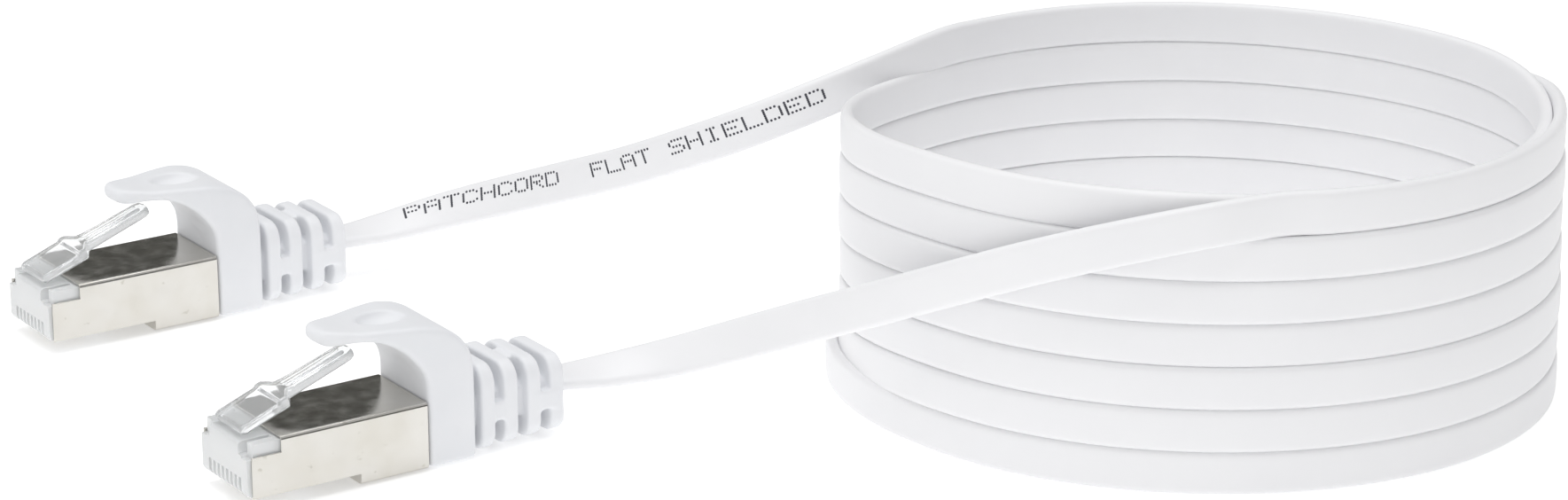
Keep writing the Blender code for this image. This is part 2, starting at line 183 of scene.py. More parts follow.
def mesh_object(name, vertices, faces, material):
    mesh = bpy.data.meshes.new(name)
    mesh.from_pydata([tuple(v) for v in vertices], [], [tuple(f) for f in faces])
    mesh.update()
    mesh.materials.append(material)
    return link(bpy.data.objects.new(name, mesh))


def shade(obj, sharp_angle=180.0):
    obj.data.shade_smooth()
    if sharp_angle < 180.0:
        obj.data.set_sharp_from_angle(angle=math.radians(sharp_angle))


# ---- materials ------------------------------------------------------------------------------
class Finish:
    """A Principled material with the few node chains that the pieces need."""

    def __init__(self, name, colour, roughness, metallic=0.0):
        self.material = bpy.data.materials.new(name)
        self.material.use_nodes = True
        self.tree = self.material.node_tree
        self.shader = self.tree.nodes["Principled BSDF"]
        self.shader.inputs["Base Color"].default_value = (*colour, 1.0)
        self.shader.inputs["Roughness"].default_value = roughness
        self.shader.inputs["Metallic"].default_value = metallic
        self.place = self.node("ShaderNodeTexCoord").outputs["Object"]

    def node(self, kind, **settings):
        made = self.tree.nodes.new(kind)
        for key, value in settings.items():
            setattr(made, key, value)
        return made

    def wire(self, source, target):
        self.tree.links.new(source, target)

    def stretched(self, scale, source=None):
        mapping = self.node("ShaderNodeMapping")
        mapping.inputs["Scale"].default_value = scale
        self.wire(source or self.place, mapping.inputs["Vector"])
        return mapping.outputs["Vector"]

    def noise(self, scale, detail=3.0, source=None, stretch=None):
        texture = self.node("ShaderNodeTexNoise")
        texture.inputs["Scale"].default_value = scale
        texture.inputs["Detail"].default_value = detail
        if stretch:
            source = self.stretched(stretch, source)
        self.wire(source or self.place, texture.inputs["Vector"])
        return texture.outputs["Fac"]

    def spread(self, value, low, high, start=0.3, end=0.7):
        """A value between start and end spread to between low and high."""
        remap = self.node("ShaderNodeMapRange")
        for key, number in (("From Min", start), ("From Max", end), ("To Min", low), ("To Max", high)):
            remap.inputs[key].default_value = number
        self.wire(value, remap.inputs["Value"])
        return remap.outputs["Result"]

    def blend(self, factor, first, second):
        """Mix two colours, each an RGB tuple or a socket."""
        mix = self.node("ShaderNodeMix", data_type="RGBA")
        for socket, colour in ((mix.inputs[6], first), (mix.inputs[7], second)):
            if isinstance(colour, tuple):
                socket.default_value = (*colour, 1.0)
            else:
                self.wire(colour, socket)
        self.wire(factor, mix.inputs[0])
        return mix.outputs[2]

    def colour(self, source):
        self.wire(source, self.shader.inputs["Base Color"])

    def roughness(self, source):
        self.wire(source, self.shader.inputs["Roughness"])

    def bump(self, height, strength, distance):
        bump = self.node("ShaderNodeBump")
        bump.inputs["Strength"].default_value = strength
        bump.inputs["Distance"].default_value = distance
        self.wire(height, bump.inputs["Height"])
        previous = self.shader.inputs["Normal"]
        if previous.is_linked:
            self.wire(previous.links[0].from_socket, bump.inputs["Normal"])
        self.wire(bump.outputs["Normal"], previous)


def jacket_finish():
    """White extruded jacket: satin, with faint die lines along its length."""
    finish = Finish("cable_jacket", (0.87, 0.87, 0.885), 0.42)
    along = finish.node("ShaderNodeUVMap", uv_map="ribbon").outputs["UV"]
    lines = finish.noise(1.0, 2.0, along, (6.0, 900.0, 1.0))
    cloud = finish.noise(60.0, 4.0)
    grain = finish.noise(5200.0, 2.0)
    clouded = finish.spread(cloud, 0.0, 1.0)
    finish.colour(finish.blend(clouded, (0.86, 0.86, 0.876), (0.885, 0.885, 0.897)))
    finish.roughness(finish.spread(cloud, 0.36, 0.5))
    finish.bump(lines, 0.12, 0.0001)
    finish.bump(grain, 0.05, 0.00005)
    return finish.material


def boot_finish():
    """Soft white moulding with a fine spark-eroded grain."""
    finish = Finish("boot_plastic", (0.83, 0.84, 0.865), 0.5)
    cloud = finish.noise(150.0, 3.0)
    grain = finish.noise(4200.0, 3.0)
    clouded = finish.spread(cloud, 0.0, 1.0)
    finish.colour(finish.blend(clouded, (0.82, 0.832, 0.858), (0.85, 0.858, 0.88)))
    finish.roughness(finish.spread(grain, 0.44, 0.58))
    finish.bump(grain, 0.10, 0.00006)
    return finish.material


def clear_finish(name, clearness):
    """Clear polycarbonate, slightly clouded by flow lines. A faint glow stands in for the light
    that a thin moulding scatters inside itself."""
    finish = Finish(name, (0.97, 0.98, 0.985), 0.04)
    finish.shader.inputs["Transmission Weight"].default_value = clearness
    finish.shader.inputs["IOR"].default_value = 1.58
    finish.shader.inputs["Emission Color"].default_value = (0.95, 0.98, 1.0, 1.0)
    finish.shader.inputs["Emission Strength"].default_value = 0.03
    flow = finish.noise(260.0, 3.0, None, (0.5, 1.6, 1.6))
    finish.roughness(finish.spread(flow, 0.02, 0.12))
    finish.bump(flow, 0.10, 0.0001)
    return finish.material


def nickel_finish():
    """Nickel plated sheet: fine drawing lines, faint tarnish and a few scuffs."""
    finish = Finish("nickel_shield", (0.65, 0.63, 0.59), 0.14, 1.0)
    lines = finish.noise(1.0, 2.0, None, (60.0, 5200.0, 5200.0))
    cloud = finish.noise(240.0, 4.0)
    clouded = finish.spread(cloud, 0.0, 1.0, 0.35, 0.75)
    tarnish = finish.blend(clouded, (0.66, 0.645, 0.61), (0.62, 0.60, 0.55))
    scuffs = finish.spread(finish.noise(900.0, 5.0, None, (0.7, 1.6, 1.0)), 0.0, 1.0, 0.66, 0.72)
    finish.colour(finish.blend(scuffs, tarnish, (0.55, 0.53, 0.48)))
    finish.roughness(finish.spread(finish.noise(500.0, 4.0), 0.12, 0.26))
    finish.bump(lines, 0.05, 0.00003)
    finish.bump(scuffs, 0.15, 0.00003)
    return finish.material


def gold_finish():
    """Gold plated contact, a little darker in patches."""
    finish = Finish("gold_contact", (0.83, 0.62, 0.26), 0.22, 1.0)
    wear = finish.noise(2500.0, 3.0)
    finish.colour(finish.blend(finish.spread(wear, 0.0, 1.0), (0.84, 0.64, 0.27), (0.72, 0.55, 0.26)))
    finish.roughness(finish.spread(wear, 0.18, 0.34))
    return finish.material


def guide_finish():
    """Off-white plastic of the load bar inside the plug."""
    finish = Finish("wire_guide_plastic", (0.82, 0.83, 0.84), 0.35)
    cloud = finish.noise(700.0, 3.0)
    finish.colour(finish.blend(finish.spread(cloud, 0.0, 1.0), (0.80, 0.81, 0.82), (0.87, 0.87, 0.87)))
    finish.roughness(finish.spread(cloud, 0.28, 0.42))
    return finish.material


def insulation_finish(name, colour):
    """Smooth coloured insulation."""
    finish = Finish(name, colour, 0.4)
    cloud = finish.noise(1500.0, 2.0)
    darker = tuple(0.88 * c for c in colour)
    finish.colour(finish.blend(finish.spread(cloud, 0.0, 1.0), darker, colour))
    finish.roughness(finish.spread(cloud, 0.34, 0.5))
    return finish.material


def ink_finish():
    """Dark grey ink, uneven from dot to dot."""
    finish = Finish("printed_ink", (0.04, 0.04, 0.05), 0.6)
    patch = finish.noise(3000.0, 3.0)
    finish.colour(finish.blend(finish.spread(patch, 0.0, 1.0), (0.02, 0.02, 0.03), (0.09, 0.09, 0.11)))
    return finish.material


JACKET = jacket_finish()
BOOT = boot_finish()
CLEAR_BODY = clear_finish("clear_body", 0.4)
CLEAR_ARM = clear_finish("clear_arm", 0.86)
NICKEL = nickel_finish()
GOLD = gold_finish()
GUIDE = guide_finish()
INK = ink_finish()
WHITE_WIRE = insulation_finish("conductor_white", (0.85, 0.85, 0.83))
CONDUCTORS = [
    WHITE_WIRE, insulation_finish("conductor_orange", (0.86, 0.34, 0.07)),
    WHITE_WIRE, insulation_finish("conductor_blue", (0.09, 0.22, 0.60)),
    WHITE_WIRE, insulation_finish("conductor_green", (0.09, 0.40, 0.16)),
    WHITE_WIRE, insulation_finish("conductor_brown", (0.28, 0.15, 0.08)),
]


# ---- cable ----------------------------------------------------------------------------------
def coil_place(angle, offset, height):
    """Point on the winding, mm. The angle is in degrees, anticlockwise from the coil's long axis."""
    a = math.radians(angle)
    along = (COIL_MIDLINE[0] + offset) * math.cos(a)
    across = (COIL_MIDLINE[1] + offset) * math.sin(a)
    x = COIL_CENTRE[0] + along * math.cos(COIL_TILT) - across * math.sin(COIL_TILT)
    y = COIL_CENTRE[1] + along * math.sin(COIL_TILT) + across * math.cos(COIL_TILT)
    return (x, y, height)


def coil_route():
    """The wound turns, clockwise from above and one below the other. Each keeps its level round
    most of the way and drops one ribbon's width at the coil's left end. After the last turn the
    ribbon climbs the outside of the back, to lie over the top turn along the front."""
    rows = []
    for i in range(round((COIL_END - COIL_START) / COIL_STEP) + 1):
        turn = COIL_START + i * COIL_STEP    # turns since the left end of the top turn
        angle = 180 - 360 * turn
        whole = math.floor(turn)
        part = turn - whole
        level = whole - 1 + ramp(part, -0.125, 0.125) + ramp(part, 0.875, 1.125)
        level = min(max(level, 0), COIL_TURNS - 1)
        spacing = TURN_SPACING - SPACING_SWAY * math.cos(math.radians(angle + 30))
        height = RIBBON_WIDTH / 2 + (COIL_TURNS - 1 - level) * spacing
        lean = LEAN * level * (1 + math.cos(math.radians(angle))) / 2
        offset = WOBBLE * math.sin(WOBBLE_PER_TURN * level + math.radians(angle)) + lean
        height -= START_DROP * (1 - ramp(turn, *START_RISES))
        # The top turn gives way under the outer layer, from the right end to the front.
        beneath = ramp(turn, *TOP_GIVES_WAY) - ramp(turn, *TOP_COMES_BACK)
        offset -= LAYER_GAP * beneath
        height -= BENEATH_DROP * beneath
        # The last stretch steps out to the outer layer, climbs to the top and comes back in.
        top = RIBBON_WIDTH / 2 + (COIL_TURNS - 1) * spacing + OUTER_RISE
        height += (top - height) * ramp(turn, *OUTER_CLIMBS)
        offset -= lean * ramp(turn, *OUTER_UPRIGHT)
        offset += LAYER_GAP * (ramp(turn, *OUTER_STEPS_OUT) - ramp(turn, *OUTER_STEPS_IN))
        rows.append((*coil_place(angle, offset, height), 90))
    return rows


def cable_route():
    """The whole cable from plug A to plug B, and the distance travelled at each row, mm."""
    end = [(x, y, z, 180 - tilt) for x, y, z, tilt in reversed(LEAD_B_POINTS)]
    rows = smooth_through(LEAD_A_POINTS + coil_route() + end, SPAN_STEPS)
    return even_spacing(rows, RING_STEP)


def ribbon_section():
    """Outline of the ribbon's cross-section, mm: across its width, and out of its face."""
    half_width = RIBBON_WIDTH / 2
    half_thick = RIBBON_THICKNESS / 2
    radius = RIBBON_EDGE_RADIUS
    outline = []
    for side_a, side_b, start in ((1, 1, 0), (-1, 1, 90), (-1, -1, 180), (1, -1, 270)):
        for i in range(5):
            angle = math.radians(start + 90 * i / 4)
            a = side_a * (half_width - radius) + radius * math.cos(angle)
            b = side_b * (half_thick - radius) + radius * math.sin(angle)
            outline.append((a, b))
        if side_a != side_b:
            continue
        for share in (0.55, 0.2, -0.2, -0.55):
            a = side_a * share * half_width
            outline.append((a, side_b * (half_thick + RIBBON_CROWN * (1 - share * share))))
    return outline


def ribbon_frames(rows):
    """Unit vectors across the ribbon's width and out of its face, at each row of the route."""
    forward = np.gradient(rows[:, :3], axis=0)
    forward /= np.linalg.norm(forward, axis=1)[:, None]
    right = np.cross(forward, (0.0, 0.0, 1.0))
    right /= np.linalg.norm(right, axis=1)[:, None]
    up = np.cross(right, forward)
    tilt = np.radians(rows[:, 3])[:, None]
    across = np.cos(tilt) * right - np.sin(tilt) * up
    out = np.cos(tilt) * up + np.sin(tilt) * right
    return across, out


def make_cable(rows, travelled):
    """The ribbon as one closed mesh, with its length and girth in metres as a UV map."""
    across, out = ribbon_frames(rows)
    section = ribbon_section()
    count = len(section)
    vertices = []
    for point, a_axis, b_axis in zip(rows[:, :3], across, out):
        for a, b in section:
            vertices.append((point + a_axis * a + b_axis * b) * MM)
    faces = []
    for i in range(len(rows) - 1):
        for j in range(count):
            k = (j + 1) % count
            faces.append((i * count + j, i * count + k, (i + 1) * count + k, (i + 1) * count + j))
    faces.append(tuple(reversed(range(count))))
    faces.append(tuple(range((len(rows) - 1) * count, len(rows) * count)))
    cable = mesh_object("cable", vertices, faces, JACKET)
    uv = cable.data.uv_layers.new(name="ribbon")
    girth = np.linspace(0, 1, count + 1) * 2 * (RIBBON_WIDTH + RIBBON_THICKNESS) * MM
    corner = 0
    for i in range(len(rows) - 1):
        for j in range(count):
            for row, column in ((i, j), (i, j + 1), (i + 1, j + 1), (i + 1, j)):
                uv.data[corner].uv = (travelled[row] * MM, girth[column])
                corner += 1
    shade(cable)
    return cable


# Dot-matrix letters, five columns by seven rows, one group of five marks for each row.
LETTERS = {
    "A": ".###. #...# #...# ##### #...# #...# #...#",
    "C": ".###. #...# #.... #.... #.... #...# .###.",
    "D": "####. #...# #...# #...# #...# #...# ####.",
    "E": "##### #.... #.... ####. #.... #.... #####",
    "F": "##### #.... #.... ####. #.... #.... #....",
    "H": "#...# #...# #...# ##### #...# #...# #...#",
    "I": ".###. ..#.. ..#.. ..#.. ..#.. ..#.. .###.",
    "L": "#.... #.... #.... #.... #.... #.... #####",
    "O": ".###. #...# #...# #...# #...# #...# .###.",
    "P": "####. #...# #...# ####. #.... #.... #....",
    "R": "####. #...# #...# ####. #.#.. #..#. #...#",
    "S": ".#### #.... #.... .###. ....# ....# ####.",
    "T": "##### ..#.. ..#.. ..#.. ..#.. ..#.. ..#..",
}
PRINT_TEXT = "PATCHCORD  FLAT SHIELDED"
PRINT_START = 28.5                    # mm along lead A's route
LETTER_PITCH = 2.72                   # mm
COLUMN_PITCH = 0.5                    # mm
ROW_PITCH = 0.255                     # mm
PRINT_LINE = 0.68                     # mm above the ribbon's middle
DOT_RADIUS = 0.17                     # mm
DOT_HEIGHT = 0.03                     # mm
DOT_SIDES = 8
MIDDLE_ROW = 3                        # of the letters' seven


def print_dots():
    """Places of the dots: distance along the cable, and height above the ribbon's middle."""
    for number, letter in enumerate(PRINT_TEXT):
        if letter == " ":
            continue
        for row, line in enumerate(LETTERS[letter].split()):
            for column, mark in enumerate(line):
                if mark == "#":
                    yield (PRINT_START + number * LETTER_PITCH + column * COLUMN_PITCH,
                           PRINT_LINE + (MIDDLE_ROW - row) * ROW_PITCH)


def make_print(rows, travelled):
    """The dots as thin discs, each sunk into the ribbon's face and standing just proud of it."""
    across, out = ribbon_frames(rows)
    forward = np.cross(across, out)
    vertices, faces = [], []
    for distance, height in print_dots():
        centre, wide, normal, along = (
            np.array([np.interp(distance, travelled, table[:, i]) for i in range(3)])
            for table in (rows, across, out, forward))
        crown = RIBBON_CROWN * (1 - (height / RIBBON_WIDTH * 2) ** 2)
        base = len(vertices)
        for lift in (-DOT_HEIGHT, DOT_HEIGHT / 2):
            middle = centre - wide * height + normal * (RIBBON_THICKNESS / 2 + crown + lift)
            for i in range(DOT_SIDES):
                angle = math.tau * i / DOT_SIDES
                spot = along * math.cos(angle) - wide * math.sin(angle)
                vertices.append((middle + spot * DOT_RADIUS) * MM)
        top = base + DOT_SIDES
        faces.append(tuple(top + i for i in range(DOT_SIDES)))
        faces.append(tuple(top - 1 - i for i in range(DOT_SIDES)))
        for i in range(DOT_SIDES):
            k = (i + 1) % DOT_SIDES
            faces.append((base + i, base + k, top + k, top + i))
    return mesh_object("cable_print", vertices, faces, INK)


cable_rows, cable_travelled = cable_route()
cable = make_cable(cable_rows, cable_travelled)
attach(cable, "root")
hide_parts("cable_lead_a", "cable_lead_b", "cable_coil")
ink = make_print(cable_rows, cable_travelled)
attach(ink, "root")


# ---- boots and hoods, as one soft moulding on each plug -------------------------------------
# A moulding is a signed distance field in the plug's local frame, in mm: negative inside.
GRID_STEP = 0.2
BOOT_LOW = (10.6, -6.6, -1.8)         # corners of the field
BOOT_HIGH = (42.6, 6.6, 17.2)

# Side outline of the collar and its hood, (x, z) from the collar's foot, anticlockwise.
HOOD_OUTLINE = [
    (23.25, -1.35), (29.4, -1.35), (29.4, 9.3), (29.2, 11.0), (28.75, 12.3), (27.8, 13.6),
    (26.6, 14.6), (25.0, 15.35), (22.6, 15.85), (19.5, 15.95), (16.0, 15.95), (13.6, 16.25),
    (12.2, 16.4), (11.55, 16.15), (11.3, 15.6), (11.45, 14.95), (12.1, 14.55), (13.2, 14.5),
    (15.0, 14.75), (16.6, 14.75), (18.0, 14.45), (19.4, 13.85), (20.9, 12.75), (22.2, 11.25),
    (23.0, 9.9), (23.25, 8.6), (23.25, 6.75),
]
# Plan outline of the hood, half of it: (x, half width) from the tip back.
HOOD_PLAN = [
    (11.2, 0.0), (11.3, 0.9), (11.6, 1.7), (12.2, 2.4), (13.5, 3.1), (16.0, 4.05), (19.0, 4.95),
    (21.0, 5.5), (22.6, 5.82), (24.2, 5.95), (32.0, 5.95),
]
HOOD_EDGE = 0.65                      # rounding of the collar's and hood's edges
DIMPLE_CENTRE = (20.6, 0.0, 16.4)     # thumb rest in the hood's top, an ellipsoid
DIMPLE_REACH = (3.3, 2.3, 1.7)        # its half axes
DIMPLE_SCALE = 1.6                    # roughly turns its share of a half axis into mm
RIB_START = 30.4
RIB_PITCH = 3.16
RIB_THICKNESS = 1.85
RIB_COUNT = 4
RIB_HALF_WIDTH = 5.55                 # of the first rib
RIB_FOOT = -1.3                       # height of the first rib's underside
RIB_TOP = 9.2                         # height of the first rib's top
RIB_NARROWING = 0.35                  # first to last rib, each side
RIB_FOOT_RISE = 0.2                   # first to last rib
RIB_TOP_DROP = 0.8                    # first to last rib
RIB_CORNER = 2.3
RIB_EDGE = 0.4
FILLET = 0.3                          # where the core and the ribs meet the rest
BRIDGE_FILLET = 0.25                  # where the bridges meet the ribs
BRIDGE_EDGE = 0.15
CORE_START = 24                       # inside the collar
CABLE_HEIGHT = 3.6                    # middle of the core and of the cable's channel


def meet(a, b, radius):
    """Where both fields are inside, with the edge between them rounded."""
    a = a + radius
    b = b + radius
    return np.minimum(np.maximum(a, b), 0) + np.hypot(np.maximum(a, 0), np.maximum(b, 0)) - radius


def join(a, b, radius):
    """Where either field is inside, with a fillet between them."""
    return -meet(-a, -b, radius)


def cut(a, b, radius):
    """The first field without the second, with the edge rounded."""
    return meet(a, -b, radius)


def outline_field(points, x, z):
    """Distance in a plane to a closed outline."""
    nearest = np.full(x.shape, np.inf)
    inside = np.zeros(x.shape, bool)
    for (x0, z0), (x1, z1) in zip(points, points[1:] + points[:1]):
        run, rise = x1 - x0, z1 - z0
        share = np.clip(((x - x0) * run + (z - z0) * rise) / (run * run + rise * rise), 0, 1)
        nearest = np.minimum(nearest, np.hypot(x - x0 - share * run, z - z0 - share * rise))
        if z0 != z1:
            crosses = (z0 > z) != (z1 > z)
            inside ^= crosses & (x < x0 + (z - z0) * run / rise)
    return np.where(inside, -nearest, nearest)


def box_field(x, y, z, centre, half, radius=0.0):
    """Distance to a box whose edges have this radius."""
    gaps = [np.abs(value - c) - h + radius for value, c, h in zip((x, y, z), centre, half)]
    outer = np.sqrt(sum(np.maximum(gap, 0) ** 2 for gap in gaps))
    return outer + np.minimum(np.maximum.reduce(gaps), 0) - radius


def round_slab(y, z, half_width, low, high, corner):
    """Distance in a cross-section to a rectangle with round corners."""
    across = np.abs(y) - half_width + corner
    upright = np.abs(z - (low + high) / 2) - (high - low) / 2 + corner
    outer = np.hypot(np.maximum(across, 0), np.maximum(upright, 0))
    return outer + np.minimum(np.maximum(across, upright), 0) - corner


def smooth_outline(points):
    """The outline with its long sides kept and its bends rounded by corner cutting."""
    rounded = []
    for before, here, after in zip(points[-1:] + points[:-1], points, points[1:] + points[:1]):
        for other in (before, after):
            reach = min(0.25, 0.35 / math.dist(here, other))
            rounded.append(tuple(h + reach * (o - h) for h, o in zip(here, other)))
    return rounded


def collar_and_hood(x, y, z):
    """The side outline met with the plan outline, with a thumb rest in the top."""
    xs, zs = x[:, :1, :], z[:, :1, :]
    side = outline_field(smooth_outline(HOOD_OUTLINE), xs, zs)
    mirrored = [(u, -v) for u, v in HOOD_PLAN[::-1]]
    plan = outline_field(HOOD_PLAN + mirrored[:-1], x[:, :, :1], y[:, :, :1])
    shell = meet(side, plan, HOOD_EDGE)
    shares = [(value - c) / r for value, c, r in zip((x, y, z), DIMPLE_CENTRE, DIMPLE_REACH)]
    dimple = np.sqrt(sum(share ** 2 for share in shares)) - 1
    return cut(shell, dimple * DIMPLE_SCALE, 0.2)


def rib(x, y, z, number):
    """One of the strain relief's ribs, each a little smaller than the one before."""
    share = number / (RIB_COUNT - 1)
    half_width = RIB_HALF_WIDTH - RIB_NARROWING * share
    low = RIB_FOOT + RIB_FOOT_RISE * share
    high = RIB_TOP - RIB_TOP_DROP * share
    centre = RIB_START + number * RIB_PITCH + RIB_THICKNESS / 2
    ring = round_slab(y, z, half_width, low, high, RIB_CORNER)
    return meet(ring, np.abs(x - centre) - RIB_THICKNESS / 2, RIB_EDGE)


def boot_field(x, y, z):
    """Collar, hood and a core with ribs. Bridges join the ribs in turn at the sides and at the
    top and foot, and the cable's channel runs through."""
    body = collar_and_hood(x, y, z)
    last = RIB_START + (RIB_COUNT - 1) * RIB_PITCH + RIB_THICKNESS
    core_middle = ((CORE_START + last) / 2, 0, CABLE_HEIGHT)
    core_half = ((last - CORE_START) / 2 - 0.05, 3.9, 2.1)
    body = join(body, box_field(x, y, z, core_middle, core_half, 0.9), FILLET)
    for number in range(RIB_COUNT):
        body = join(body, rib(x, y, z, number), FILLET)
    for first in (0, 2):
        middle = RIB_START + first * RIB_PITCH + (RIB_PITCH + RIB_THICKNESS) / 2
        for side in (-1, 1):
            place, half = (middle, side * 4.35, 3.35), (1.6, 1.0, 1.15)
            bridge = box_field(x, y, z, place, half, BRIDGE_EDGE)
            body = join(body, bridge, BRIDGE_FILLET)
    for middle in (RIB_START - 0.5, RIB_START + 1.5 * RIB_PITCH + RIB_THICKNESS / 2):
        for height in (-0.2, 7.4):
            bridge = box_field(x, y, z, (middle, 0, height), (1.6, 1.7, 0.9), BRIDGE_EDGE)
            body = join(body, bridge, BRIDGE_FILLET)
    channel = box_field(x, y, z, (36, 0, CABLE_HEIGHT), (14, 2.7, 0.85), 0.5)
    return cut(body, channel, 0.2)


def surface_net(field, low, step):
    """Closed quad surface of a field's zero level, one vertex in each crossed cell."""
    shape = tuple(n - 1 for n in field.shape)
    total = np.zeros(shape + (3,))
    hits = np.zeros(shape)
    for axis in range(3):
        others = [i for i in range(3) if i != axis]
        for b in (0, 1):
            for c in (0, 1):
                window = [slice(0, -1)] * 3
                window[others[0]] = slice(b, shape[others[0]] + b)
                window[others[1]] = slice(c, shape[others[1]] + c)
                near = field[tuple(window)]
                window[axis] = slice(1, None)
                far = field[tuple(window)]
                crossed = (near < 0) != (far < 0)
                offset = np.zeros((np.count_nonzero(crossed), 3))
                offset[:, axis] = near[crossed] / (near[crossed] - far[crossed])
                offset[:, others[0]] = b
                offset[:, others[1]] = c
                total[crossed] += offset
                hits[crossed] += 1
    used = hits > 0
    number = np.full(shape, -1)
    number[used] = np.arange(np.count_nonzero(used))
    cells = np.argwhere(used)
    vertices = (cells + total[used] / hits[used][:, None]) * step + np.array(low)
    faces = []
    for axis in range(3):
        b, c = (axis + 1) % 3, (axis + 2) % 3
        window = [slice(1, -1)] * 3
        window[axis] = slice(0, -1)
        near = field[tuple(window)]
        window[axis] = slice(1, None)
        far = field[tuple(window)]
        for rising in (True, False):
            edges = (near < 0) & (far >= 0) if rising else (near >= 0) & (far < 0)
            at = np.argwhere(edges)
            at[:, b] += 1
            at[:, c] += 1
            loop = []
            for db, dc in ((-1, -1), (0, -1), (0, 0), (-1, 0)):
                cell = at.copy()
                cell[:, b] += db
                cell[:, c] += dc
                loop.append(number[tuple(cell.T)])
            quads = np.stack(loop if rising else loop[::-1], axis=1)
            faces.append(quads)
    return vertices, np.vstack(faces)


def relax(vertices, faces, rounds):
    """Even out the net's small steps by moving each vertex half way to its neighbours' middle."""
    edges = np.vstack([faces[:, [i, (i + 1) % 4]] for i in range(4)])
    ends = np.vstack([edges, edges[:, ::-1]])
    count = np.bincount(ends[:, 0], minlength=len(vertices))[:, None]
    for _ in range(rounds):
        middle = np.stack([np.bincount(ends[:, 0], vertices[ends[:, 1], i], len(vertices))
                           for i in range(3)], axis=1) / count
        vertices = vertices + 0.5 * (middle - vertices)
    return vertices


def boot_surface():
    """Vertices in the plug's local frame, mm, and quads of the boot with its hood."""
    axes = [np.arange(low, high, GRID_STEP) for low, high in zip(BOOT_LOW, BOOT_HIGH)]
    x, y, z = np.meshgrid(*axes, indexing="ij")
    vertices, faces = surface_net(boot_field(x, y, z), BOOT_LOW, GRID_STEP)
    return relax(vertices, faces, 2), faces


def plug_nose(side):
    """Front, middle and contact side of a plug, mm, from its housing's box."""
    low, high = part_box(f"plug_{side}_housing")
    return np.array((low[0] / MM, (low[1] + high[1]) / 2 / MM, FOOT_DEPTH))


boot_vertices, boot_faces = boot_surface()
for side in PLUG_SIDES:
    nose = plug_nose(side)
    boot = mesh_object(f"plug_{side}_strain_relief", (boot_vertices + nose) * MM, boot_faces, BOOT)
    shade(boot)
    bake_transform(boot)
    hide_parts(f"plug_{side}_boot", f"plug_{side}_hood")


# ---- latches, housings and shields ----------------------------------------------------------
LATCH_PIVOT = (1.15, 0.0, 7.3)        # mm, behind the nose and above the contact side
LATCH_REST = math.radians(20.5)       # upward slope of the arm at rest
LATCH_LENGTH = 16.3                   # mm
LATCH_GRID = 0.11                     # mm
LATCH_LOW = (-1.2, -3.7, -1.2)        # corners of the field
LATCH_HIGH = (16.9, 3.7, 1.5)
HOUSING_EDGE = 0.09                   # mm
SHIELD_EDGE = 0.05                    # mm
SHARP_ANGLE = 40.0                    # degrees, above which an edge is rounded


def latch_field(x, y, z):
    """Sprung arm along +X from its pivot: wide at the root, then a narrow grooved tail."""
    side = [(0.0, -0.6), (LATCH_LENGTH, -0.6), (LATCH_LENGTH, 0.4), (8.0, 0.6), (6.4, 0.85),
            (5.2, 0.85), (4.9, 0.6), (0.0, 0.6), (-0.45, 0.4), (-0.6, 0.0), (-0.45, -0.4)]
    plan = [(-1.0, -3.15), (6.0, -3.15), (6.9, -1.6), (15.3, -1.6), (16.1, -1.15), (16.3, 0.0),
            (16.1, 1.15), (15.3, 1.6), (6.9, 1.6), (6.0, 3.15), (-1.0, 3.15)]
    profile = outline_field(side, x[:, :1, :], z[:, :1, :])
    arm = meet(profile, outline_field(plan, x[:, :, :1], y[:, :, :1]), 0.22)
    for middle in (-0.62, 0.62):
        groove = box_field(x, y, z, (11.2, middle, 0.75), (3.9, 0.3, 0.62), 0.2)
        arm = cut(arm, groove, 0.1)
    return arm


def latch_surface():
    """Vertices in the plug's local frame, mm, and quads of the arm, sloped as at rest."""
    axes = [np.arange(low, high, LATCH_GRID) for low, high in zip(LATCH_LOW, LATCH_HIGH)]
    x, y, z = np.meshgrid(*axes, indexing="ij")
    vertices, faces = surface_net(latch_field(x, y, z), LATCH_LOW, LATCH_GRID)
    vertices = relax(vertices, faces, 2)
    turned = vertices.copy()
    turned[:, 0] = vertices[:, 0] * math.cos(LATCH_REST) - vertices[:, 2] * math.sin(LATCH_REST)
    turned[:, 2] = vertices[:, 0] * math.sin(LATCH_REST) + vertices[:, 2] * math.cos(LATCH_REST)
    return turned + np.array(LATCH_PIVOT), faces


def softened(node, name, material, width):
    """A copy of a node's mesh with its coplanar triangles merged and its edges rounded."""
    mesh = nodes[node].data.copy()
    mesh.name = name
    mesh.materials.clear()
    mesh.materials.append(material)
    bm = bmesh.new()
    bm.from_mesh(mesh)
    bmesh.ops.remove_doubles(bm, verts=bm.verts, dist=1e-6)
    bmesh.ops.dissolve_limit(bm, angle_limit=math.radians(1), verts=bm.verts, edges=bm.edges)
    bm.to_mesh(mesh)
    bm.free()
    copy = link(bpy.data.objects.new(name, mesh))
    bevel = copy.modifiers.new("edges", "BEVEL")
    bevel.width = width * MM
    bevel.segments = 2
    bevel.limit_method = "ANGLE"
    bevel.angle_limit = math.radians(SHARP_ANGLE)
    shade(copy, SHARP_ANGLE)
    flat_faces = copy.modifiers.new("flat_faces", "WEIGHTED_NORMAL")
    flat_faces.weight = 100
    flat_faces.keep_sharp = True
    return copy


